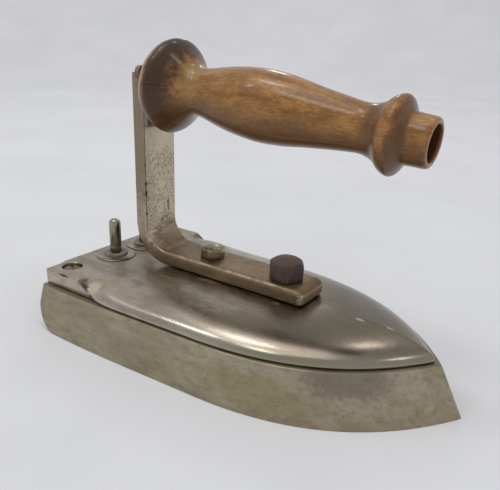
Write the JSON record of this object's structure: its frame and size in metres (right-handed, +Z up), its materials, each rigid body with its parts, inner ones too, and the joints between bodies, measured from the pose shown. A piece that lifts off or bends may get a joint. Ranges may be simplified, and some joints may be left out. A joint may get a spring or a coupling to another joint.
{
  "type": "electric flat iron",
  "caption": "Early plug-in electric flat iron: boat-shaped nickelled sole and domed cover, bent flat-bar bracket, turned wooden handle open at the front, contact pins at the heel.",
  "frame": {"origin": "on the surface the iron stands on, under the middle of the sole's length and width", "axes": "+X along the sole towards the pointed nose, +Y to the iron's left as its user faces the nose, +Z up"},
  "size_m": [0.1764, 0.099, 0.1243],
  "materials": {
    "sole_nickel": "worn nickel plate, dull and mottled",
    "cover_nickel": "worn nickel plate, half polished",
    "bracket_steel": "worn nickel plate with dark pits and rust freckles",
    "washer_nickel": "tarnished nickel plate",
    "pin_nickel": "tarnished nickel plate on brass",
    "bolt_nickel": "tarnished nickel plate",
    "screw_steel": "darkened steel",
    "rod_steel": "dull steel",
    "rusty_steel": "dark brown rust",
    "bare_iron": "bare casting",
    "brass": "tarnished",
    "resistance_ribbon": "oxidised nickel alloy",
    "mica": "pearly flake",
    "insulation": "matted mineral fibre",
    "insulator": "dull dark moulded insulation",
    "spacer_fibre": "dark vulcanised fibre",
    "lacquered_wood": "honey brown with aged gloss lacquer"
  },
  "bodies": {
    "root": {"sole_plate": "sole_nickel", "lower_mica_sheet": "mica", "upper_mica_sheet": "mica", "insulation_mat": "insulation", "heating_ribbon": "resistance_ribbon", "pressure_plate": "bare_iron", "top_cover": "cover_nickel", "pin_washer_right": "washer_nickel", "pin_washer_left": "washer_nickel", "pin_bushing_right": "insulator", "pin_bushing_left": "insulator", "contact_pin_right": "pin_nickel", "contact_pin_left": "pin_nickel", "pin_backing_washer_right": "mica", "pin_backing_washer_left": "mica", "pin_nut_right": "brass", "pin_nut_left": "brass", "lead_strip_right": "brass", "lead_strip_left": "brass", "cover_screw_right": "screw_steel", "cover_screw_left": "screw_steel", "handle_bracket": "bracket_steel", "clamp_bolt": "rusty_steel", "bracket_bolt": "bolt_nickel", "wooden_grip": "lacquered_wood", "grip_spacer": "spacer_fibre", "handle_rod": "rod_steel", "rod_washer": "rod_steel", "rod_nut": "rusty_steel"}
  },
  "joints": []
}
